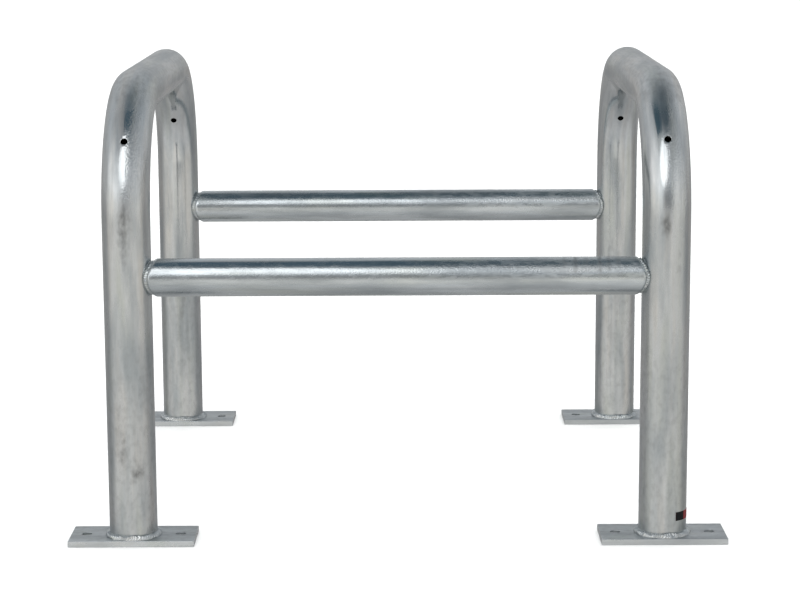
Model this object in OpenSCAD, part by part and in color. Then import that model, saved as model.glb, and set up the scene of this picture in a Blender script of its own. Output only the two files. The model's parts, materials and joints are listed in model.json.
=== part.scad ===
// Fixed guard barrier of round steel tube: two upside-down U hoops joined by two rails,
// each leg welded to a base plate that is bolted to the floor.
// Millimetres. Origin at the middle of the footprint, on the floor. +X runs along the rails,
// +Y to the rear, +Z up.

/* [Overall] */
// Distance between the centre lines of the two hoops
hoop_spacing = 845; // [500:5:2000]
// Distance between the two leg centre lines of one hoop
leg_spacing = 840; // [560:5:2000]
// Height from the floor to the top of the hoops
overall_h = 740; // [500:5:1500]

/* [Hoops] */
// Outside diameter of the hoop tube
leg_d = 76.1; // [62:0.1:114.3]
// Wall thickness of the hoop tube
leg_wall = 3.6; // [2.5:0.1:6]
// Radius of the bends, at the tube's centre line
bend_radius = 190; // [150:5:230]

/* [Rails] */
// Outside diameter of the rail tube
rail_d = 60.3; // [42.4:0.1:61]
// Wall thickness of the rail tube
rail_wall = 3.6; // [2.5:0.1:5]
// Distance from the start of the bends down to the rails' centre line
rail_below_bend = 87; // [50:1:200]

/* [Base plates] */
// Thickness of the plates
plate_t = 10; // [6:1:25]
// Flat left between the foot weld and the long edges of a plate
plate_land = 0.45; // [0:0.05:30]
// Distance between the two bolt holes of a plate
bolt_spacing = 150; // [145:1:300]
// Distance from a bolt hole's centre to the short edge of the plate
bolt_edge = 25; // [15:1:60]
// Diameter of the bolt holes
bolt_hole_d = 16; // [8:0.5:20]

/* [Welds] */
// Leg length of the fillet weld round each foot
foot_weld = 6.5; // [3:0.5:10]
// How far the fillet's centre lies inside the corner; more makes a flatter weld
foot_weld_flat = 4; // [1:0.5:12]
// Gap between a rail's end and the leg, filled by the weld
rail_weld_gap = 5; // [2:0.5:8]
// Depth of the rail weld's face below the rail's surface
rail_weld_sink = 2; // [0.5:0.1:2.4]
// Thickness of the weld's root inside the rail
rail_weld_root = 1.5; // [0.5:0.1:3]

/* [Galvanising holes] */
// Diameter of the hanging hole through each bend
hang_hole_d = 11; // [6:0.5:16]
// Angle of the hanging hole, from the start of the bend
hang_hole_angle = 34; // [10:1:80]
// Diameter of the hidden vent between each leg and rail
vent_d = 25; // [10:1:32]
// Diameter of the drain hole in each plate, under the tube
drain_d = 40; // [15:1:50]

/* [Label] */
// Height of the label
label_h = 14; // [8:1:30]
// Length of the label round the leg
label_l = 60; // [20:1:90]
// Thickness of the label
label_t = 0.3; // [0.1:0.1:1]
// Clear height between the foot weld and the label
label_above_weld = 19.5; // [2:0.5:300]
// Direction of the label's near end round the leg, from the +X axis
label_start_angle = -62.5; // [-180:0.5:180]

/* [Hidden] */
$fn = 96;
cut_over = 1; // how far a cutter runs past the face that it cuts
leg_r = leg_d / 2;
rail_r = rail_d / 2;
leg_bore_d = leg_d - 2 * leg_wall;
rail_bore_d = rail_d - 2 * rail_wall;
bend_start_z = overall_h - leg_r - bend_radius;
top_centre_z = overall_h - leg_r;
bend_centre_y = leg_spacing / 2 - bend_radius;
rail_z = bend_start_z - rail_below_bend;
plate_w = leg_d + 2 * (foot_weld + plate_land);
plate_l = bolt_spacing + 2 * bolt_edge;
saddle_r = leg_r + rail_weld_gap; // the coped end of a rail, about the leg's centre line
rail_weld_d = rail_d - 2 * rail_weld_sink;
rail_weld_bore_d = rail_bore_d - 2 * rail_weld_root;
label_z = plate_t + foot_weld + label_above_weld;
label_wrap = label_l / (leg_r + label_t) * 180 / PI;
left = -1;
right = 1;
front = -1;
rear = 1;

// Puts its children at the foot of one leg, on the floor.
module at_leg(side, end) {
    translate([side * hoop_spacing / 2, end * leg_spacing / 2, 0]) children();
}

// A round bar along the hoop's centre line, from bottom_z up, over and down again.
module hoop_bar(d, bottom_z) {
    for (end = [front, rear]) {
        translate([0, end * leg_spacing / 2, bottom_z])
            cylinder(d = d, h = bend_start_z - bottom_z);
        mirror([0, end == front ? 1 : 0, 0])
            translate([0, bend_centre_y, bend_start_z])
                rotate([90, 0, 90])
                    rotate_extrude(angle = 90)
                        translate([bend_radius, 0])
                            circle(d = d);
    }
    translate([0, -bend_centre_y, top_centre_z])
        rotate([-90, 0, 0])
            cylinder(d = d, h = 2 * bend_centre_y);
}

// Hole straight through both walls of a bend, on a line from the bend's centre.
module hang_hole(end) {
    mirror([0, end == front ? 1 : 0, 0])
        translate([0, bend_centre_y, bend_start_z])
            rotate([hang_hole_angle - 90, 0, 0])
                translate([0, 0, bend_radius - leg_r - cut_over])
                    cylinder(d = hang_hole_d, h = leg_d + 2 * cut_over);
}

// Vent through the wall that a rail's weld closes off; it opens into the rail.
module rail_vent(side, end) {
    translate([0, end * leg_spacing / 2, rail_z])
        rotate([0, -side * 90, 0])
            cylinder(d = vent_d, h = leg_r + cut_over);
}

module hoop(side) {
    color([0.70, 0.71, 0.70])
        translate([side * hoop_spacing / 2, 0, 0])
            difference() {
                hoop_bar(leg_d, plate_t);
                hoop_bar(leg_bore_d, plate_t - cut_over);
                for (end = [front, rear]) {
                    hang_hole(end);
                    rail_vent(side, end);
                }
            }
}

// Tube between two legs, coped at both ends to follow them at the weld gap.
module rail(end) {
    color([0.74, 0.76, 0.77])
        difference() {
            translate([-hoop_spacing / 2, end * leg_spacing / 2, rail_z])
                rotate([0, 90, 0])
                    difference() {
                        cylinder(d = rail_d, h = hoop_spacing);
                        translate([0, 0, -cut_over])
                            cylinder(d = rail_bore_d, h = hoop_spacing + 2 * cut_over);
                    }
            for (side = [left, right])
                at_leg(side, end)
                    translate([0, 0, rail_z - rail_d])
                        cylinder(r = saddle_r, h = 2 * rail_d);
        }
}

module base_plate(side, end) {
    color([0.62, 0.64, 0.64])
        at_leg(side, end)
            difference() {
                translate([-plate_l / 2, -plate_w / 2, 0])
                    cube([plate_l, plate_w, plate_t]);
                for (hole_side = [left, right])
                    translate([hole_side * bolt_spacing / 2, 0, -cut_over])
                        cylinder(d = bolt_hole_d, h = plate_t + 2 * cut_over);
                translate([0, 0, -cut_over])
                    cylinder(d = drain_d, h = plate_t + 2 * cut_over);
            }
}

// Slightly bulged fillet ring in the corner between a leg and its plate.
module foot_weld_ring(side, end) {
    color([0.80, 0.81, 0.80])
        at_leg(side, end)
            translate([0, 0, plate_t])
                rotate_extrude()
                    translate([leg_r, 0])
                        intersection() {
                            square(foot_weld);
                            translate([-foot_weld_flat, -foot_weld_flat])
                                circle(r = norm([foot_weld + foot_weld_flat, foot_weld_flat]));
                        }
}

// Saddle-shaped weld that fills the gap between a rail's coped end and the leg.
module rail_weld_ring(side, end) {
    color([0.80, 0.81, 0.80])
        difference() {
            intersection() {
                at_leg(side, end)
                    translate([0, 0, rail_z])
                        rotate([0, -side * 90, 0])
                            cylinder(d = rail_weld_d, h = saddle_r + cut_over);
                at_leg(side, end)
                    translate([0, 0, rail_z - rail_d])
                        cylinder(r = saddle_r, h = 2 * rail_d);
            }
            at_leg(side, end)
                translate([0, 0, rail_z - rail_d - cut_over])
                    cylinder(r = leg_r, h = 2 * (rail_d + cut_over));
            at_leg(side, end)
                translate([0, 0, rail_z])
                    rotate([0, -side * 90, 0])
                        cylinder(d = rail_weld_bore_d, h = saddle_r + 2 * cut_over);
        }
}

// Thin sticker wrapped round the outside of the right front leg.
module label_band() {
    color([0.10, 0.10, 0.10])
        at_leg(right, front)
            translate([0, 0, label_z])
                rotate([0, 0, label_start_angle])
                    rotate_extrude(angle = label_wrap)
                        translate([leg_r, 0])
                            square([label_t, label_h]);
}

hoop(left);  // left_hoop
hoop(right);  // right_hoop
rail(front);  // front_rail
rail(rear);  // rear_rail
base_plate(left, front);  // base_plate_front_left
base_plate(right, front);  // base_plate_front_right
base_plate(left, rear);  // base_plate_rear_left
base_plate(right, rear);  // base_plate_rear_right
foot_weld_ring(left, front);  // foot_weld_front_left
foot_weld_ring(right, front);  // foot_weld_front_right
foot_weld_ring(left, rear);  // foot_weld_rear_left
foot_weld_ring(right, rear);  // foot_weld_rear_right
rail_weld_ring(left, front);  // rail_weld_front_left
rail_weld_ring(right, front);  // rail_weld_front_right
rail_weld_ring(left, rear);  // rail_weld_rear_left
rail_weld_ring(right, rear);  // rail_weld_rear_right
label_band();  // blank_label
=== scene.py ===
import json
import math

import bmesh
import bpy
from mathutils import Matrix, Vector, noise


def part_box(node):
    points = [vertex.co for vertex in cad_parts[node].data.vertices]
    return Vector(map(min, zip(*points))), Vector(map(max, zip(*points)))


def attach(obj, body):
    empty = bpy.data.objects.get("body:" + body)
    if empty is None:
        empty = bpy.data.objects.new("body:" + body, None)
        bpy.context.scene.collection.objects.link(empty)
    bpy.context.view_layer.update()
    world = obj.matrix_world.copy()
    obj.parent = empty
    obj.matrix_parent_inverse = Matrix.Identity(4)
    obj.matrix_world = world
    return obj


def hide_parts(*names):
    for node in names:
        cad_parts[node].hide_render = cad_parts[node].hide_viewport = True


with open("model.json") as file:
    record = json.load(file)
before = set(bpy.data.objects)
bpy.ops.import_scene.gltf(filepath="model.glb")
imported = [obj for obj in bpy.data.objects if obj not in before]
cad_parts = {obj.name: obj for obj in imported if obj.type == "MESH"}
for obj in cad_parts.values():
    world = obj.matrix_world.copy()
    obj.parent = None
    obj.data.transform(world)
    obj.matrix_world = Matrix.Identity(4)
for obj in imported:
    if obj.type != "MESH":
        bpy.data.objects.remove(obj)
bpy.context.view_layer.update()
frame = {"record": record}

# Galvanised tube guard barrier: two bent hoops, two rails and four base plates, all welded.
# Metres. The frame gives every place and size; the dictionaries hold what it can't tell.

tau = 2 * math.pi
mm = 0.001
sharpAngle = 0.9    # radians; cut edges that turn by more are rounded, as zinc rounds them
sides = {"left": -1, "right": 1}
ends = {"front": -1, "rear": 1}


hoopLow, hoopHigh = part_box("right_hoop")
railLow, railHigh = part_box("front_rail")
plateLow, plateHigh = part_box("base_plate_front_right")
footWeldLow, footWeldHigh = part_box("foot_weld_front_right")
railWeldLow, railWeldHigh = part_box("rail_weld_front_right")
labelLow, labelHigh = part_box("blank_label")
boltPattern = next(m for m in frame["record"]["mounts"] if m["name"] == "bolts_front_right")

legR = (hoopHigh.x - hoopLow.x) / 2
legX = (hoopHigh.x + hoopLow.x) / 2
legY = hoopHigh.y - legR
plateTop = hoopLow.z
plateHalfY = (plateHigh.y - plateLow.y) / 2
topZ = hoopHigh.z
railR = (railHigh.z - railLow.z) / 2
railZ = (railHigh.z + railLow.z) / 2
boltX = boltPattern["dims"]["spacing_x_mm"] / 2 * mm
boltR = boltPattern["dims"]["hole_r_mm"] * mm
footWeldSize = footWeldHigh.z - footWeldLow.z
railWeldR = (railWeldHigh.z - railWeldLow.z) / 2


def linearHex(code):
    # sRGB hex to the linear colour that Blender's sockets take
    channels = [int(code[i:i + 2], 16) / 255 for i in (0, 2, 4)]
    return [c / 12.92 if c <= 0.04045 else ((c + 0.055) / 1.055) ** 2.4 for c in channels] + [1.0]


def addNode(tree, kind, inputs=None, out=0, **settings):
    # a new node with its settings and links; gives back one of its outputs
    node = tree.nodes.new("ShaderNode" + kind)
    for name, value in settings.items():
        setattr(node, name, value)
    for name, value in (inputs or {}).items():
        if isinstance(value, bpy.types.NodeSocket):
            tree.links.new(value, node.inputs[name])
        else:
            node.inputs[name].default_value = value
    return node.outputs[out] if node.outputs else None


def addPiece(name, mesh, material, cadNode, smoothAngle=40):
    # smooth shading with sharp creases, riding on the one body in place of its CAD node
    mesh.polygons.foreach_set("use_smooth", [True] * len(mesh.polygons))
    mesh.set_sharp_from_angle(angle=math.radians(smoothAngle))
    mesh.materials.append(material)
    piece = bpy.data.objects.new(name, mesh)
    bpy.context.scene.collection.objects.link(piece)
    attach(piece, "root")
    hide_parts(cadNode)
    return piece


def ringMesh(name, rings, closedRun):
    # faces between rings of equal length; closedRun joins the last ring to the first
    count = len(rings[0])
    faces = []
    runs = len(rings) if closedRun else len(rings) - 1
    for i in range(runs):
        a, b = i * count, ((i + 1) % len(rings)) * count
        for j in range(count):
            k = (j + 1) % count
            faces.append((a + j, a + k, b + k, b + j))
    mesh = bpy.data.meshes.new(name)
    mesh.from_pydata([p for ring in rings for p in ring], [], faces)
    faceOutwards(mesh)
    return mesh


def faceOutwards(mesh, closeEnds=False):
    # turns every face outwards, and first caps open ends if asked
    bm = bmesh.new()
    bm.from_mesh(mesh)
    if closeEnds:
        bmesh.ops.holes_fill(bm, edges=[e for e in bm.edges if e.is_boundary], sides=0)
    bmesh.ops.recalc_face_normals(bm, faces=bm.faces)
    bm.to_mesh(mesh)
    bm.free()


def roundEdges(mesh, offset, segments, above=-1.0):
    # rounds the sharp edges that lie above a height
    bm = bmesh.new()
    bm.from_mesh(mesh)
    sharp = [e for e in bm.edges if len(e.link_faces) == 2 and e.calc_face_angle() > sharpAngle
             and (e.verts[0].co.z + e.verts[1].co.z) / 2 > above]
    bmesh.ops.bevel(bm, geom=sharp, offset=offset, segments=segments, profile=0.5, affect="EDGES")
    bm.to_mesh(mesh)
    bm.free()


def paintSurface(mesh, runOf, gritOf=None, mattOf=None):
    # zincRun: each point as if its tube were straight, so streaks can follow the bends
    # zincGrit: 1 where the zinc froze grainy; zincMatt: 1 where it dried dull, over 1 in a stain
    points = [v.co.copy() for v in mesh.vertices]
    layer = mesh.attributes.new("zincRun", "FLOAT_VECTOR", "POINT")
    layer.data.foreach_set("vector", [c for p in points for c in runOf(p)])
    for name, valueOf in (("zincGrit", gritOf), ("zincMatt", mattOf)):
        layer = mesh.attributes.new(name, "FLOAT", "POINT")
        layer.data.foreach_set("value", [valueOf(p) if valueOf else 0.5 for p in points])


def ease(value, low, high):
    # 0 at low, 1 at high, smooth between; low may be the larger
    t = min(max((value - low) / (high - low), 0.0), 1.0)
    return t * t * (3 - 2 * t)


def wave(point, size, seed):
    # smooth noise from 0 to 1, about one bump for each size; the seed moves it elsewhere
    shift = Vector((seed * 7.3, seed * 3.1, seed * 5.7))
    return 0.5 + 0.5 * noise.noise(Vector(point) / size + shift)


def cutWith(mesh, cutters):
    # exact boolean cuts, applied at once
    body = bpy.data.objects.new("cutBody", mesh)
    bpy.context.scene.collection.objects.link(body)
    helpers = []
    for i, cutterMesh in enumerate(cutters):
        helper = bpy.data.objects.new(f"cutter{i}", cutterMesh)
        bpy.context.scene.collection.objects.link(helper)
        step = body.modifiers.new(f"cut{i}", "BOOLEAN")
        step.operation = "DIFFERENCE"
        step.solver = "EXACT"
        step.object = helper
        helpers.append(helper)
    bpy.context.view_layer.update()
    result = bpy.data.meshes.new_from_object(body.evaluated_get(bpy.context.evaluated_depsgraph_get()))
    for thing in helpers + [body]:
        bpy.data.objects.remove(thing)
    return result


def rodMesh(start, finish, radius, count=48):
    # a round cutter for a hole
    axis = (finish - start).normalized()
    turn = axis.to_track_quat("Z", "Y")
    spokes = [turn @ Vector((radius * math.cos(tau * j / count), radius * math.sin(tau * j / count), 0))
              for j in range(count)]
    mesh = ringMesh("rod", [[point + spoke for spoke in spokes] for point in (start, finish)], False)
    faceOutwards(mesh, closeEnds=True)
    return mesh


camera = {
    "place": (0.0113, -(legY + 3.5324), 1.0103),
    "lens": 102.7,      # mm on a 36 mm sensor
    "pitch": 10.0,      # degrees below level
    "yaw": 0.10,
    "roll": 0.28,
}

cameraData = bpy.data.cameras.new("camera")
cameraData.lens = camera["lens"]
cameraData.sensor_width = 36
cameraData.clip_end = 200
cameraObject = bpy.data.objects.new("camera", cameraData)
cameraObject.matrix_world = (
    Matrix.Translation(camera["place"])
    @ Matrix.Rotation(math.radians(camera["yaw"]), 4, "Z")
    @ Matrix.Rotation(math.radians(90 - camera["pitch"]), 4, "X")
    @ Matrix.Rotation(-math.radians(camera["roll"]), 4, "Z")
)
bpy.context.scene.collection.objects.link(cameraObject)
bpy.context.scene.camera = cameraObject
bpy.context.scene.view_settings.view_transform = "Standard"
print("camera ready")


studio = {
    "floorColour": "F4F4F2",
    "floorPale": "F7F7F6",
    "floorSize": 120,
    "backdrop": "FDFDFD",
    "lampAzimuth": -18,       # degrees; 0 is straight in front, negative to the left
    "lampElevation": 42,
    "lampDistance": 6.0,
    "lampWidth": 3.4,
    "lampHeight": 4.4,
    "lampPower": 51,          # watts
    "fillStrength": 2.6,
    "fillAngle": 70,
    "fillTurn": (-8, 6),      # degrees about x and y; 0 shines straight down
    "roomStrength": 1.02,
    # the ceiling's dark gap: its middle and half size as direction x and y
    "gapMiddle": (0.03, 0.074),
    "gapHalf": (0.26, 0.435),
    "gapColour": "55646D",
    "sideShade": 0.93,        # how much light the room keeps at its far left and right
    # a dark flag hung above the hoops: its near left and far right corners, and its height
    "flagNear": (-0.72, -0.95),
    "flagFar": (0.04, 0.35),
    "flagHeight": 2.2,
    "flagColour": "485E6C",
}

# The room's light by height, from -1 straight down to 1 straight up: height, brightness, tint.
plain, cool, warm = (1, 1, 1), (0.955, 0.99, 1.025), (1.02, 1.0, 0.96)
roomLight = {
    "front": [(-1.0, 0.50, plain), (-0.75, 0.68, plain), (-0.4, 0.89, warm), (-0.12, 0.88, warm),
              (0.04, 0.36, plain), (0.22, 0.30, cool), (0.42, 0.62, cool), (0.8, 0.52, cool),
              (1.0, 0.30, cool)],
    "frontLeft": [(-1.0, 0.50, plain), (-0.5, 0.74, plain), (-0.15, 0.80, warm), (0.08, 1.05, warm),
                  (0.3, 1.30, plain), (0.55, 1.10, plain), (0.8, 0.55, cool), (1.0, 0.30, cool)],
    "frontRight": [(-1.0, 0.50, plain), (-0.5, 0.70, plain), (-0.15, 0.74, warm), (0.08, 0.84, warm),
                   (0.3, 0.84, plain), (0.55, 0.66, cool), (0.8, 0.42, cool), (1.0, 0.30, cool)],
    "back": [(-1.0, 0.50, plain), (-0.6, 0.44, plain), (-0.1, 0.38, plain), (0.1, 0.56, plain),
             (0.5, 0.66, cool), (0.8, 0.52, cool), (1.0, 0.30, cool)],
}


def makeWorld():
    world = bpy.data.worlds.new("studioRoom")
    bpy.context.scene.world = world
    world.use_nodes = True
    tree = world.node_tree
    tree.nodes.clear()
    direction = addNode(tree, "TexCoord")
    axes = addNode(tree, "SeparateXYZ", {0: direction}).node.outputs

    rooms = {}
    for name, stops in roomLight.items():
        level = addNode(tree, "MapRange", {"Value": axes["Z"], "From Min": -1.0, "From Max": 1.0})
        rooms[name] = addNode(tree, "ValToRGB", {0: level})
        ramp = rooms[name].node.color_ramp
        ramp.interpolation = "EASE"
        while len(ramp.elements) < len(stops):
            ramp.elements.new(0.5)
        for element, (height, value, tint) in zip(ramp.elements, stops):
            element.position = (height + 1) / 2
            element.color = [value * c for c in tint] + [1]
    # straight in front the room is darker at eye level than to either side
    aside = addNode(tree, "Math", {0: axes["X"]}, operation="ABSOLUTE")
    aside = addNode(tree, "MapRange", {"Value": aside, "From Min": 0.2, "From Max": 0.55},
                    interpolation_type="SMOOTHSTEP")
    rightness = addNode(tree, "MapRange", {"Value": axes["X"], "From Min": -0.15, "From Max": 0.15},
                        interpolation_type="SMOOTHSTEP")
    flanks = addNode(tree, "Mix", {0: rightness, 6: rooms["frontLeft"], 7: rooms["frontRight"]}, 2,
                     data_type="RGBA")
    front = addNode(tree, "Mix", {0: aside, 6: rooms["front"], 7: flanks}, 2, data_type="RGBA")
    frontness = addNode(tree, "MapRange", {"Value": axes["Y"], "From Min": 0.25, "From Max": -0.25},
                        interpolation_type="SMOOTHSTEP")
    room = addNode(tree, "Mix", {0: frontness, 6: rooms["back"], 7: front}, 2, data_type="RGBA")

    # a dark gap in the ceiling overhead, long from front to back
    (middleX, middleY), (halfX, halfY) = studio["gapMiddle"], studio["gapHalf"]
    gapSpace = addNode(tree, "Mapping", {"Vector": direction, "Scale": (1 / halfX, 1 / halfY, 0),
                                         "Location": (-middleX / halfX, -middleY / halfY, 0)})
    gapReach = addNode(tree, "VectorMath", {0: gapSpace}, 1, operation="LENGTH")
    gapEdge = addNode(tree, "MapRange", {"Value": gapReach, "From Min": 1.25, "From Max": 0.75},
                      interpolation_type="SMOOTHSTEP")
    above = addNode(tree, "MapRange", {"Value": axes["Z"], "From Min": 0.1, "From Max": 0.4})
    gapAmount = addNode(tree, "Math", {0: gapEdge, 1: above}, operation="MULTIPLY")
    room = addNode(tree, "Mix", {0: gapAmount, 6: room, 7: linearHex(studio["gapColour"])}, 2,
                   data_type="RGBA")
    # a little less light from the far left and right
    farSide = addNode(tree, "Math", {0: axes["X"]}, operation="ABSOLUTE")
    sideLight = addNode(tree, "MapRange", {"Value": farSide, "From Min": 0.7, "From Max": 0.95,
                                           "To Min": 1.0, "To Max": studio["sideShade"]})
    room = addNode(tree, "VectorMath", {0: room, 1: sideLight}, operation="MULTIPLY")

    # the camera sees plain paper; only reflections and shading see the room
    glow = addNode(tree, "Background", {"Color": room, "Strength": studio["roomStrength"]})
    paper = addNode(tree, "Background", {"Color": linearHex(studio["backdrop"]), "Strength": 1.0})
    seen = addNode(tree, "LightPath")
    mixed = addNode(tree, "MixShader", {0: seen, 1: glow, 2: paper})
    addNode(tree, "OutputWorld", {"Surface": mixed})


def makeLights():
    # one tall oval softbox, far enough to light both hoops from the same side
    softbox = bpy.data.lights.new("softbox", "AREA")
    softbox.shape = "ELLIPSE"
    softbox.size = studio["lampWidth"]
    softbox.size_y = studio["lampHeight"]
    softbox.energy = studio["lampPower"]
    azimuth, elevation = math.radians(studio["lampAzimuth"]), math.radians(studio["lampElevation"])
    level = math.cos(elevation)
    towards = Vector((math.sin(azimuth) * level, -math.cos(azimuth) * level, math.sin(elevation)))
    softboxObject = bpy.data.objects.new("softbox", softbox)
    softboxObject.location = Vector((0, -legY, 0.5)) + towards * studio["lampDistance"]
    softboxObject.rotation_euler = towards.to_track_quat("Z", "Y").to_euler()
    softboxObject.visible_camera = False

    # lights the floor evenly and softly; kept out of the zinc's reflections
    fill = bpy.data.lights.new("fill", "SUN")
    fill.energy = studio["fillStrength"]
    fill.angle = math.radians(studio["fillAngle"])
    fillObject = bpy.data.objects.new("fill", fill)
    fillObject.rotation_euler = [math.radians(turn) for turn in studio["fillTurn"]] + [0]
    fillObject.visible_glossy = False
    for light in (softboxObject, fillObject):
        bpy.context.scene.collection.objects.link(light)


def levelSheet(name, near, far, height, material):
    # a flat rectangle of the studio, from its near left to its far right corner
    mesh = bpy.data.meshes.new(name)
    corners = [(near[0], near[1], height), (far[0], near[1], height),
               (far[0], far[1], height), (near[0], far[1], height)]
    mesh.from_pydata(corners, [], [(0, 1, 2, 3)])
    mesh.materials.append(material)
    sheet = bpy.data.objects.new(name, mesh)
    bpy.context.scene.collection.objects.link(sheet)
    return sheet


def makeFlag():
    # Dark cloth that only reflections see: a soft dark stripe along the bends and the rails' tops.
    material = bpy.data.materials.new("dark flag cloth")
    material.use_nodes = True
    tree = material.node_tree
    tree.nodes.clear()
    cloth = addNode(tree, "Emission", {"Color": linearHex(studio["flagColour"])})
    addNode(tree, "OutputMaterial", {"Surface": cloth})
    flag = levelSheet("flag", studio["flagNear"], studio["flagFar"], studio["flagHeight"], material)
    flag.visible_camera = False
    flag.visible_diffuse = False
    flag.visible_shadow = False


def makeFloor():
    material = bpy.data.materials.new("matt painted studio floor")
    material.use_nodes = True
    tree = material.node_tree
    shader = tree.nodes["Principled BSDF"]
    shader.inputs["Roughness"].default_value = 0.9
    shader.inputs["Specular IOR Level"].default_value = 0.1
    # roller texture: very faint, about 30 mm across
    place = addNode(tree, "TexCoord", out=3)
    cloud = addNode(tree, "TexNoise", {"Vector": place, "Scale": 33.0, "Detail": 3.0})
    tone = addNode(tree, "Mix", {0: cloud, 6: linearHex(studio["floorColour"]),
                                 7: linearHex(studio["floorPale"])}, 2, data_type="RGBA")
    tree.links.new(tone, shader.inputs["Base Color"])
    half = studio["floorSize"] / 2
    floor = levelSheet("floor", (-half, -half), (half, half), 0, material)
    floor.visible_glossy = False    # the room's own lower half stands for it in the zinc


makeWorld()
makeLights()
makeFlag()
makeFloor()
print("studio ready")


zinc = {
    "cool": "CCCFD0",
    "warm": "CDC8C0",
    "green": "C2C6C1",
    "dull": "ADB3B6",
    "stain": "7A7B7B",
    "warmShare": 0.45,
    "shineRough": 0.14,
    "mattRough": 0.36,
    "blotch": 0.05,           # added roughness of dull blots in the grainy parts
    "tone": 0.06,             # how far streaks lighten and darken the metal
    "waveHeight": 0.07,       # mm, slow waves everywhere
    "lineHeight": 0.026,      # mm, the lines drawn along the tube
    "lumpHeight": 0.14,       # mm, lumps where it froze grainy
    "grainHeight": 0.75,      # mm, the grains themselves
    # along and round the tube in mm: drawn marks stretch with it, zinc clouds hardly do
    "patterns": {
        "streak": (190, 9.0, 3.0),
        "tint": (260, 22.0, 2.0),
        "line": (110, 2.6, 2.0),
        "cloud": (170, 28.0, 4.0),
        "mottle": (12, 8.0, 4.0),
        "grain": (2.8, 2.6, 2.0),   # real grains are under 1 mm; drawn coarser so they show
        "wave": (80, 14.0, 2.0),
    },
}


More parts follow.
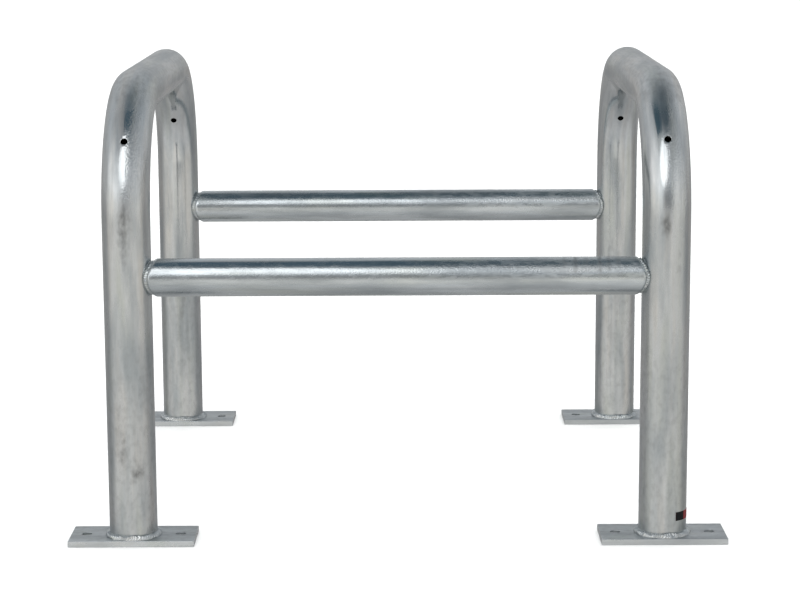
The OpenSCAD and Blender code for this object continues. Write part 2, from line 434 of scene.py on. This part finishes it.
def zincMaterial(name, changes):
    # Hot-dip galvanised steel: zinc frozen on the part as it left the bath. To the eye a satin grey
    # metal, bright where it drained thin and mottled, dull or grainy where it froze slowly.
    look = {**zinc, **changes}
    material = bpy.data.materials.new(name)
    material.use_nodes = True
    tree = material.node_tree
    shader = tree.nodes["Principled BSDF"]
    shader.inputs["Metallic"].default_value = 1.0
    run = addNode(tree, "Attribute", out=1, attribute_name="zincRun")
    grit = addNode(tree, "Attribute", out=2, attribute_name="zincGrit")
    matt = addNode(tree, "Attribute", out=2, attribute_name="zincMatt")

    noises = {}
    for step, (key, (along, across, detail)) in enumerate(look["patterns"].items()):
        space = addNode(tree, "Mapping", {"Vector": run, "Location": (step * 7.1, step * 3.3, step * 5.9),
                                          "Scale": (1000 / along, 1000 / across, 1000 / across)})
        noises[key] = addNode(tree, "TexNoise", {"Vector": space, "Scale": 1.0, "Detail": detail,
                                                 "Roughness": 0.55})

    # colour: faint warm and green tints drawn along the tube, dull clouds, then stains
    warmth = addNode(tree, "MapRange", {"Value": noises["tint"], "From Min": 0.5, "From Max": 0.68,
                                        "To Max": look["warmShare"]})
    colour = addNode(tree, "Mix", {0: warmth, 6: linearHex(look["cool"]), 7: linearHex(look["warm"])}, 2,
                     data_type="RGBA")
    greening = addNode(tree, "MapRange", {"Value": noises["tint"], "From Min": 0.5, "From Max": 0.34,
                                          "To Max": 0.7})
    colour = addNode(tree, "Mix", {0: greening, 6: colour, 7: linearHex(look["green"])}, 2, data_type="RGBA")
    clouding = addNode(tree, "MapRange", {"Value": noises["cloud"], "From Min": 0.42, "From Max": 0.66})
    colour = addNode(tree, "Mix", {0: clouding, 6: colour, 7: linearHex(look["dull"])}, 2, data_type="RGBA")
    patchy = addNode(tree, "Math", {0: noises["mottle"], 1: matt}, operation="MULTIPLY")
    staining = addNode(tree, "MapRange", {"Value": patchy, "From Min": 0.38, "From Max": 1.05,
                                          "To Max": 0.85})
    colour = addNode(tree, "Mix", {0: staining, 6: colour, 7: linearHex(look["stain"])}, 2, data_type="RGBA")
    shade = addNode(tree, "MapRange", {"Value": noises["streak"], "From Min": 0.3, "From Max": 0.7,
                                       "To Min": 1 - look["tone"], "To Max": 1 + look["tone"] * 0.7})
    fine = addNode(tree, "MapRange", {"Value": noises["mottle"], "From Min": 0.3, "From Max": 0.7,
                                      "To Min": 0.96, "To Max": 1.03})
    shade = addNode(tree, "Math", {0: shade, 1: fine}, operation="MULTIPLY")
    colour = addNode(tree, "VectorMath", {0: colour, 1: shade}, operation="MULTIPLY")
    tree.links.new(colour, shader.inputs["Base Color"])

    # where it is gritty, broken up by the clouds
    patch = addNode(tree, "Math", {0: noises["cloud"], 1: 0.5}, operation="SUBTRACT")
    broken = addNode(tree, "Math", {0: patch, 1: 3.0, 2: 1.0}, operation="MULTIPLY_ADD", use_clamp=True)
    gritty = addNode(tree, "Math", {0: broken, 1: grit}, operation="MULTIPLY")

    # roughness: duller with the matt share, uneven with the clouds
    uneven = addNode(tree, "MapRange", {"Value": noises["cloud"], "From Min": 0.3, "From Max": 0.7,
                                        "To Min": -0.35, "To Max": 0.35})
    dullness = addNode(tree, "Math", {0: matt, 1: uneven}, operation="ADD")
    rough = addNode(tree, "MapRange", {"Value": dullness, "To Min": look["shineRough"],
                                       "To Max": look["mattRough"]})
    worn = addNode(tree, "MapRange", {"Value": noises["line"], "From Min": 0.3, "From Max": 0.7,
                                      "To Min": -0.025, "To Max": 0.025})
    rough = addNode(tree, "Math", {0: rough, 1: worn}, operation="ADD")
    blotch = addNode(tree, "MapRange", {"Value": noises["mottle"], "From Min": 0.47, "From Max": 0.62,
                                        "To Max": look["blotch"]})
    rough = addNode(tree, "Math", {0: blotch, 1: gritty, 2: rough}, operation="MULTIPLY_ADD")
    tree.links.new(rough, shader.inputs["Roughness"])

    # relief in metres: grains and lumps where it is gritty, fine drawn lines, slow waves
    grain = addNode(tree, "Math", {0: noises["grain"], 1: look["grainHeight"] * mm}, operation="MULTIPLY")
    grain = addNode(tree, "Math", {0: grain, 1: gritty}, operation="MULTIPLY")
    waves = addNode(tree, "Math", {0: noises["wave"], 1: look["waveHeight"] * mm}, operation="MULTIPLY")
    lumps = addNode(tree, "Math", {0: noises["mottle"], 1: look["lumpHeight"] * mm}, operation="MULTIPLY")
    lumps = addNode(tree, "Math", {0: lumps, 1: gritty, 2: waves}, operation="MULTIPLY_ADD")
    relief = addNode(tree, "Math", {0: noises["line"], 1: look["lineHeight"] * mm, 2: lumps},
                     operation="MULTIPLY_ADD")
    relief = addNode(tree, "Math", {0: relief, 1: grain}, operation="ADD")
    normal = addNode(tree, "Bump", {"Height": relief, "Strength": 1.0, "Distance": 1.0})
    tree.links.new(normal, shader.inputs["Normal"])
    return material


tubeZinc = zincMaterial("hot-dip galvanised drawn tube", {})
railZinc = zincMaterial("hot-dip galvanised rail tube", {
    "cool": "CCD2D5", "warmShare": 0.25, "shineRough": 0.20, "mattRough": 0.33, "grainHeight": 0.42,
    "lumpHeight": 0.22, "blotch": 0.2,
    "patterns": {**zinc["patterns"], "streak": (320, 7.0, 3.0), "mottle": (18, 6.5, 4.0),
                 "grain": (3.0, 2.4, 1.0)},
})
plateZinc = zincMaterial("hot-dip galvanised flat bar", {
    "cool": "C8CDD0", "warm": "C8C8C3", "green": "BDC3C1", "dull": "B2B7BA", "shineRough": 0.26,
    "mattRough": 0.45, "grainHeight": 0.25,
    "patterns": {**zinc["patterns"], "streak": (60, 14.0, 3.0), "tint": (70, 50.0, 2.0)},
})
weldZinc = zincMaterial("hot-dip galvanised weld metal", {
    "cool": "C9CED0", "shineRough": 0.20, "mattRough": 0.40, "grainHeight": 0.3,
    "patterns": {**zinc["patterns"], "streak": (12, 5.0, 2.0), "cloud": (16, 12.0, 3.0)},
})
print("materials ready")


hoop = {
    "bendRadius": 0.190,     # centre line
    "wall": 0.0036,
    "holeAngle": 34,         # degrees into the bend
    "holeR": 0.0055,
    "holeLip": 0.0003,       # zinc rounds the hole's edge
    "drillReach": 1.4,       # half the drill's length, in tube radii
    "around": 96,
    "step": 0.006,           # metres between rings on the outside
    "insideSteps": 160,
    "flatten": 0.012,        # share that the bends lose in their own plane
    "waviness": 0.00012,
    # share of matt zinc: everywhere, more at the foot and on the crown, less in the bends
    "matt": {"base": 0.42, "foot": 0.45, "crown": 0.57, "bend": 0.4},
    "footFade": (0.47, 0.26),        # heights over which the foot's matt zinc comes in
    "crownFade": 0.8,                # share of the bend's height where the crown's comes in
    "bendFade": (-0.02, 0.05),       # heights from the bend's start over which its shine comes in
    # share of grainy zinc: everywhere, and on the bends' outer side
    "grit": {"base": 0.06, "bend": 0.9},
    "gritStart": (-0.05, 0.05),      # metres along the tube from the bend over which it comes in
    "gritEnd": (0.26, 0.2),          # and over which it goes
    "gritOut": (0.0, 0.022),         # towards the outside of the bend
    "gritAcross": (-0.006, 0.008),   # towards +X
    # dull marks: hoop, leg, height, across, half length, half width, strength
    "smudges": [
        ("right", "front", 0.512, -0.006, 0.015, 0.009, 1.5),
        ("right", "front", 0.500, -0.002, 0.050, 0.012, 0.4),
        ("left", "front", 0.528, 0.002, 0.036, 0.013, 1.3),
        ("left", "front", 0.475, -0.001, 0.034, 0.010, 0.8),
        ("left", "front", 0.118, 0.013, 0.012, 0.009, 0.9),
        ("left", "front", 0.160, -0.010, 0.030, 0.006, 0.6),
        ("right", "front", 0.455, 0.016, 0.050, 0.006, 0.5),
        ("right", "rear", 0.330, -0.012, 0.050, 0.007, 0.5),
        ("left", "rear", 0.250, 0.008, 0.040, 0.006, 0.4),
    ],
}


def hoopLine():
    # the centre line from the front foot over to the rear foot: its length, its places, the same
    # line backwards, and where the bends' centres lie
    bendR = hoop["bendRadius"]
    bendZ = topZ - legR - bendR
    bendY = legY - bendR
    quarter = bendR * math.pi / 2
    legRun = bendZ - plateTop
    total = 2 * (legRun + quarter) + 2 * bendY

    def at(run):
        # centre, outward direction and how far into a bend, 0 to 1 and back
        mirrored = run > total / 2
        s = total - run if mirrored else run
        if s <= legRun:
            y, z, outY, outZ, bent = -legY, plateTop + s, -1.0, 0.0, 0.0
        elif s <= legRun + quarter:
            angle = (s - legRun) / bendR
            y = -bendY - bendR * math.cos(angle)
            z = bendZ + bendR * math.sin(angle)
            outY, outZ, bent = -math.cos(angle), math.sin(angle), math.sin(2 * angle)
        else:
            y, z, outY, outZ, bent = -bendY + (s - legRun - quarter), topZ - legR, 0.0, 1.0, 0.0
        flip = -1 if mirrored else 1
        return Vector((0, flip * y, z)), Vector((0, flip * outY, outZ)), bent

    def runOf(point, x):
        # where a point lies along the straightened tube
        y, z = -abs(point.y), point.z
        if z <= bendZ:
            s, out = z - plateTop, -legY - y
        elif y < -bendY:
            angle = math.atan2(z - bendZ, -y - bendY)
            s, out = legRun + bendR * angle, math.hypot(z - bendZ, -y - bendY) - bendR
        else:
            s, out = legRun + quarter + y + bendY, z - (topZ - legR)
        if point.y > 0:
            s = total - s
        return (s, out, point.x - x)

    return total, at, runOf, bendY, bendZ


def makeHoop(side):
    x = sides[side] * legX
    total, at, runOf, bendY, bendZ = hoopLine()
    count = hoop["around"]

    def ring(run, radius, wavy):
        centre, out, bent = at(run)
        points = []
        for j in range(count):
            turn = tau * j / count
            inPlane, across = radius * math.cos(turn), radius * math.sin(turn)
            sag = hoop["waviness"] * wave((run, inPlane * 1.6, across * 1.6 + x), 0.07, 1) if wavy else 0
            inPlane *= 1 - hoop["flatten"] * bent
            shrink = 1 - sag / radius
            points.append(centre + out * inPlane * shrink + Vector((x + across * shrink, 0, 0)))
        return points

    steps = round(total / hoop["step"])
    outside = [ring(total * i / steps, legR, True) for i in range(steps + 1)]
    steps = hoop["insideSteps"]
    inside = [ring(total * (1 - i / steps), legR - hoop["wall"], False) for i in range(steps + 1)]
    mesh = ringMesh("hoop", outside + inside, True)

    # the hanging holes, drilled through both walls of each bend
    angle = math.radians(hoop["holeAngle"])
    near, far = [hoop["bendRadius"] + way * legR * hoop["drillReach"] for way in (-1, 1)]
    cutters = []
    for way in ends.values():
        ray = Vector((0, way * math.cos(angle), math.sin(angle)))
        middle = Vector((x, way * bendY, bendZ))
        cutters.append(rodMesh(middle + ray * near, middle + ray * far, hoop["holeR"]))
    mesh = cutWith(mesh, cutters)
    roundEdges(mesh, hoop["holeLip"], 3, above=bendZ)

    def smudge(p):
        # soft dull marks, each a blot on the front or rear leg of one hoop
        dull = 0
        for hoopSide, end, height, across, long, wide, strength in hoop["smudges"]:
            if hoopSide == side and p.y * ends[end] > bendY * 0.9:
                reach = math.hypot((p.z - height) / long, (p.x - x - across) / wide)
                facing = ease((p.y - ends[end] * legY) * ends["front"] / legR, 0.0, 0.3)
                dull += strength * math.exp(-reach * reach) * facing
        return dull

    def mattOf(p):
        share = hoop["matt"]
        start, stop = hoop["bendFade"]
        foot = ease(p.z, *hoop["footFade"])
        crown = ease(p.z, bendZ + hoop["crownFade"] * hoop["bendRadius"], topZ - legR)
        bend = ease(p.z, bendZ + start, bendZ + stop) * (1 - crown)
        added = max(share["foot"] * foot, share["crown"] * crown)
        return share["base"] + added - share["bend"] * bend + smudge(p)

    def gritOf(p):
        # grainy on the outer side of the bends, round the hanging holes
        share = hoop["grit"]
        s, out, across = runOf(p, x)
        s = min(s, total - s)
        (start, full), (gone, fading) = hoop["gritStart"], hoop["gritEnd"]
        along = ease(s, bendZ + start, bendZ + full) * ease(s, bendZ + gone, bendZ + fading)
        around = ease(out, *hoop["gritOut"])
        return share["base"] + share["bend"] * along * around * ease(across, *hoop["gritAcross"])

    # the two hoops take different stretches of the zinc's pattern
    paintSurface(mesh, lambda p: Vector(runOf(p, x)) + Vector((x * 3, 0, 0)), gritOf, mattOf)
    return addPiece(f"{side}HoopTube", mesh, tubeZinc, f"{side}_hoop")


for side in sides:
    makeHoop(side)
print("hoops bent and drilled")


rail = {
    "wall": 0.0036,
    "weldGap": 0.0050,        # from the leg's surface to the coped end
    "bevelLength": 0.0050,
    "bevelDepth": 0.0026,
    "bevelSteps": 6,
    "bevelRound": 1.6,        # 1 is a straight bevel; more is rounded by the torch and the zinc
    "around": 96,
    "step": 0.004,
    "waviness": 0.00010,
    # shares of grainy and of matt zinc: everywhere, and added towards the right end
    "grit": {"base": 0.35, "right": 0.6},
    "matt": {"base": 0.25, "right": 0.35},
    "gritAlong": (-0.15, 0.32),    # x over which the grainy zinc comes in
    "gritUp": (-0.4, 0.2),         # and heights from the middle line, in rail radii
    "mattAlong": (-0.1, 0.35),     # x over which the matt zinc comes in
    # dull runs down from the top: rail, place along it, half width, lowest point, strength
    "runs": [
        ("front", 0.262, 0.004, 0.006, 0.5),
        ("front", 0.279, 0.003, 0.004, 0.9),
        ("front", 0.295, 0.005, 0.009, 0.5),
        ("front", 0.317, 0.003, -0.002, 1.0),
        ("front", 0.331, 0.003, 0.006, 0.8),
        ("front", 0.346, 0.004, 0.008, 0.5),
        ("rear", -0.290, 0.012, 0.014, 0.5),
        ("rear", 0.060, 0.030, 0.012, 0.5),
    ],
}


def saddlePoint(side, end, radius, turn, reach):
    # a point on a tube of this radius along X, at a distance reach from the leg's centre line
    y, z = radius * math.cos(turn), radius * math.sin(turn)
    inward = math.sqrt(reach ** 2 - y ** 2)
    return Vector((sides[side] * (legX - inward), ends[end] * legY + y, railZ + z))


def makeRail(end):
    count = rail["around"]
    endReach = legR + rail["weldGap"]

    def endRing(side, radius, reach):
        return [saddlePoint(side, end, radius, tau * j / count, reach) for j in range(count)]

    def soften(points):
        # the zinc's slow waves, always inwards
        result = []
        for p in points:
            out = Vector((0, p.y - ends[end] * legY, p.z - railZ))
            sag = rail["waviness"] * wave((p.x, p.y * 1.5, p.z * 1.5), 0.06, 2)
            result.append(p - out.normalized() * sag)
        return result

    def bevelRings(side):
        rings = []
        for i in range(rail["bevelSteps"] + 1):
            t = i / rail["bevelSteps"]
            drop = rail["bevelDepth"] * (1 - t) ** rail["bevelRound"]
            rings.append(endRing(side, railR - drop, endReach + rail["bevelLength"] * t))
        return rings

    leftRings, rightRings = bevelRings("left"), bevelRings("right")
    steps = round(2 * legX / rail["step"])
    between = [soften([a.lerp(b, i / steps) for a, b in zip(leftRings[-1], rightRings[-1])])
               for i in range(1, steps)]
    innerR = railR - rail["wall"]
    rings = leftRings + between + rightRings[::-1]
    rings += [endRing("right", innerR, endReach), endRing("left", innerR, endReach)]
    mesh = ringMesh("rail", rings, True)

    def gritOf(p):
        # grainier towards the right end, on the upper side
        share = rail["grit"]
        low, high = rail["gritUp"]
        upper = ease(p.z, railZ + low * railR, railZ + high * railR)
        return share["base"] + share["right"] * ease(p.x, *rail["gritAlong"]) * upper

    def mattOf(p):
        # duller towards the right end, and in the runs
        dull = rail["matt"]["base"] + rail["matt"]["right"] * ease(p.x, *rail["mattAlong"])
        for railEnd, place, wide, lowest, strength in rail["runs"]:
            if railEnd == end:
                across = (p.x - place) / wide
                above = ease(p.z - railZ, lowest - 0.004, lowest + 0.012)
                dull += strength * math.exp(-across * across) * above
        return dull

    paintSurface(mesh, lambda p: (p.x + ends[end] * 2.3, p.y - ends[end] * legY, p.z - railZ), gritOf, mattOf)
    return addPiece(f"{end}RailTube", mesh, railZinc, f"{end}_rail")


for end in ends:
    makeRail(end)
print("rails coped")


plate = {
    "drainR": 0.020,
    "edge": 0.0010,      # rounded by the zinc
    "topSkin": 0.0006,   # how far down the edges the dull top reaches
    "matt": {"edge": 0.15, "top": 0.75},    # share of matt zinc on the edges, and added on top
}


def makePlate(end, side):
    low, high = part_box(f"base_plate_{end}_{side}")
    bm = bmesh.new()
    bmesh.ops.create_cube(bm, size=1.0)
    for v in bm.verts:
        v.co = Vector((low[i] + (v.co[i] + 0.5) * (high[i] - low[i]) for i in range(3)))
    mesh = bpy.data.meshes.new("plate")
    bm.to_mesh(mesh)
    bm.free()
    middle = (low + high) / 2
    over = Vector((0, 0, high.z - low.z))
    holes = [(middle + Vector((-boltX, 0, 0)), boltR), (middle + Vector((boltX, 0, 0)), boltR),
             (middle, plate["drainR"])]
    mesh = cutWith(mesh, [rodMesh(c - over, c + over, r, 64) for c, r in holes])
    roundEdges(mesh, plate["edge"], 4)

    def mattOf(p):
        return plate["matt"]["edge"] + plate["matt"]["top"] * ease(p.z, high.z - plate["topSkin"], high.z)

    # the front and rear plates take different stretches of the zinc's pattern
    paintSurface(mesh, lambda p: (p.x + 1.7 * middle.y, p.y, p.z), None, mattOf)
    piece = addPiece(f"{end}{side.title()}BasePlate", mesh, plateZinc,
                     f"base_plate_{end}_{side}")
    flat = piece.modifiers.new("flatFaces", "WEIGHTED_NORMAL")
    flat.keep_sharp = True
    return piece


for end in ends:
    for side in sides:
        makePlate(end, side)
print("plates cut")


weld = {
    "ripple": 0.0042,         # metres from one ripple to the next
    "rippleHeight": 0.0011,
    "rippleBow": 0.9,         # how far the bead's edges lag behind its middle, in ripples
    "drift": 1.1,             # how far the ripples stray from even steps, in ripples
    "driftLength": 0.013,
    "lump": 0.011,
    "lumpHeight": 0.0014,
    "footWidth": 1.2,         # of the CAD's fillet
    "footUneven": 0.18,       # how far that width changes round the leg
    "footBulge": 0.34,        # beyond a straight fillet, as a share of its size
    "footSink": 0.2,          # and how far the whole bead lies lower
    "overlap": 0.0011,        # where the second run of the foot bead crosses the first
    "overlapFade": (0.032, 0.012),    # metres round the leg over which the crossing comes in
    "seamWidth": 0.14,        # share of the bead
    "seamWave": 0.006,        # metres round the leg for one radian of its wandering
    "shore": 0.0005,          # left free along the plate's long edges
    "railSink": 0.0009,       # how far the rail bead lies under the bevel
    "railLumps": {"left": 0.45, "right": 1.2},    # share of the bead's relief at each end
    "crevice": 0.0012,        # how deep the rail bead dips against the leg
    "legSink": 0.0004,        # how far the rail bead starts inside the leg's surface
    "lap": 0.0016,            # how much longer the rail bead is than the gap it fills
    "rootDepth": 0.0015,      # how far the rail bead's root stands inside the bore
    "smoothAngle": 75,        # degrees; keeps the ripples smooth
    "stepsAround": 480,
    "stepsAcross": 14,
}


def beadHeight(run, across, seed):
    # ripples bow backwards across the bead, as weld metal freezes; lumps vary them
    bow = weld["rippleBow"] * (2 * across - 1) ** 2
    drift = weld["drift"] * noise.noise(Vector((run / weld["driftLength"], seed * 4.1, 0)))
    phase = run / weld["ripple"] + bow + drift
    crest = (0.5 + 0.5 * math.sin(tau * phase)) ** 1.6
    strong = 0.35 + 0.9 * wave((run, across * 0.004, 0), 0.02, seed)
    lump = noise.noise(Vector((run / weld["lump"], across * 1.7, seed * 9.7)))
    fade = math.sin(math.pi * min(max(across, 0.0), 1.0)) ** 0.6
    return fade * (weld["rippleHeight"] * crest * strong + weld["lumpHeight"] * lump)


def makeFootWeld(end, side):
    centre = Vector((sides[side] * legX, ends[end] * legY, plateTop))
    seed = 1 + 2 * list(ends).index(end) + list(sides).index(side)
    size = footWeldSize
    rings = []
    for i in range(weld["stepsAround"]):
        turn = tau * i / weld["stepsAround"]
        out = Vector((math.cos(turn), math.sin(turn), 0))
        run = turn * (legR + size)
        # each run starts and stops at the front and at the back, one climbing over the other
        meeting = min(abs(turn - tau * 0.25), abs(turn - tau * 0.75)) * legR
        wide = weld["footWidth"] + weld["footUneven"] * noise.noise(out * 2.3 + Vector((0, 0, seed * 3.7)))
        # how far the bead may reach before it would hang over the plate's long edge
        room = (plateHalfY - weld["shore"]) / max(abs(out.y), 0.1) - legR
        ring = []
        for j in range(weld["stepsAcross"] + 1):
            t = j / weld["stepsAcross"]
            # from the leg down to the plate, bulged beyond the straight line
            bulge = weld["footBulge"] * size * math.sin(math.pi * t) ** 0.7
            # the seam between the two runs wanders across the bead
            seam = 0.25 + 0.5 * ease(meeting, 0.016, -0.016) + 0.25 * math.sin(run / weld["seamWave"])
            crossing = weld["overlap"] * ease(meeting, *weld["overlapFade"])
            crossing *= math.exp(-((t - seam) / weld["seamWidth"]) ** 2)
            height = bulge - weld["footSink"] * size + beadHeight(run, t, seed) + crossing
            swell = height * 0.707    # at 45 degrees, as much outwards as upwards
            reach = min(max(size * wide * t + swell, 0.0), room)
            rise = max(size * wide * (1 - t) + swell, 0.0)
            ring.append(centre + out * (legR + reach) + Vector((0, 0, rise)))
        # the hidden root, just inside the leg and the plate
        ring.append(centre + out * (legR - 0.0002) + Vector((0, 0, -0.0002)))
        rings.append(ring)
    mesh = ringMesh("footWeld", rings, True)
    paintSurface(mesh, lambda p: (p.x, p.y, p.z))
    return addPiece(f"{end}{side.title()}FootWeld", mesh, weldZinc,
                    f"foot_weld_{end}_{side}", weld["smoothAngle"])


def makeRailWeld(end, side):
    seed = 5 + 2 * list(ends).index(end) + list(sides).index(side)
    gap = rail["weldGap"]
    steps = weld["stepsAround"]
    lumps = weld["railLumps"][side]
    rootR = railR - rail["wall"] - weld["rootDepth"]
    crest = railR - rail["bevelDepth"] - weld["railSink"]
    rings = []
    for i in range(steps):
        turn = tau * i / steps
        ring = []
        for j in range(weld["stepsAcross"] + 1):
            t = j / weld["stepsAcross"]
            # from the rail's bevel to the leg, dipping into a crevice against the leg
            reach = legR - weld["legSink"] + (gap + weld["lap"]) * (1 - t)
            crown = lumps * beadHeight(turn * railWeldR, t, seed) - weld["crevice"] * ease(t, 0.72, 1.0)
            ring.append(saddlePoint(side, end, crest + crown, turn, reach))
        ring.append(saddlePoint(side, end, rootR, turn, legR))
        ring.append(saddlePoint(side, end, rootR, turn, legR + gap))
        rings.append(ring)
    mesh = ringMesh("railWeld", rings, True)
    paintSurface(mesh, lambda p: (p.x, p.y, p.z))
    return addPiece(f"{end}{side.title()}RailWeld", mesh, weldZinc,
                    f"rail_weld_{end}_{side}", weld["smoothAngle"])


for end in ends:
    for side in sides:
        makeFootWeld(end, side)
        makeRailWeld(end, side)
print("welds laid")


label = {
    "startAngle": -62.5,      # degrees round the leg from +X
    "length": 0.060,
    "thick": 0.0003,
    "columns": 80,            # faces along the label
    "rows": 12,
    "dark": "0B0C0E",
    "band": "7A2A2C",
    "worn": "6A6C70",
    "wornShare": 0.07,
    "bandStart": 0.0175,      # metres from the near end
    "bandEnd": 0.046,
}


def makeLabel():
    centre = Vector((legX, -legY, 0))
    faceR = legR + label["thick"]
    span = label["length"] / faceR
    columns, rows = label["columns"], label["rows"]
    heights = [labelLow.z + (labelHigh.z - labelLow.z) * j / rows for j in range(rows + 1)]
    rings = []
    for i in range(columns + 1):
        turn = math.radians(label["startAngle"]) + span * i / columns
        out = Vector((math.cos(turn), math.sin(turn), 0))
        ring = [centre + out * faceR + Vector((0, 0, z)) for z in heights]
        ring += [centre + out * (legR - 0.0001) + Vector((0, 0, z)) for z in (labelHigh.z, labelLow.z)]
        rings.append(ring)
    mesh = ringMesh("label", rings, False)
    faceOutwards(mesh, closeEnds=True)

    def runOf(p):
        # along the label from its near end, and up
        turn = math.atan2(p.y - centre.y, p.x - centre.x) - math.radians(label["startAngle"])
        return ((turn % tau) * legR, p.z, 0)

    paintSurface(mesh, runOf)

    # Printed vinyl: black with one dull red band. To the eye satin, with faint pale wear.
    material = bpy.data.materials.new("printed vinyl sticker")
    material.use_nodes = True
    tree = material.node_tree
    shader = tree.nodes["Principled BSDF"]
    shader.inputs["Specular IOR Level"].default_value = 0.2
    run = addNode(tree, "Attribute", out=1, attribute_name="zincRun")
    along = addNode(tree, "SeparateXYZ", {0: run})
    after = addNode(tree, "Math", {0: along, 1: label["bandStart"]}, operation="GREATER_THAN")
    before = addNode(tree, "Math", {0: along, 1: label["bandEnd"]}, operation="LESS_THAN")
    inBand = addNode(tree, "Math", {0: after, 1: before}, operation="MULTIPLY")
    # specks of wear, about 1 mm across
    speck = addNode(tree, "TexNoise", {"Vector": run, "Scale": 900.0, "Detail": 3.0})
    ink = addNode(tree, "Mix", {0: inBand, 6: linearHex(label["dark"]), 7: linearHex(label["band"])}, 2,
                  data_type="RGBA")
    worn = addNode(tree, "MapRange", {"Value": speck, "From Min": 0.55, "From Max": 0.8,
                                      "To Max": label["wornShare"]})
    ink = addNode(tree, "Mix", {0: worn, 6: ink, 7: linearHex(label["worn"])}, 2, data_type="RGBA")
    tree.links.new(ink, shader.inputs["Base Color"])
    rough = addNode(tree, "MapRange", {"Value": speck, "To Min": 0.45, "To Max": 0.65})
    tree.links.new(rough, shader.inputs["Roughness"])
    return addPiece("blankLabel", mesh, material, "blank_label")


makeLabel()
print("label stuck on")
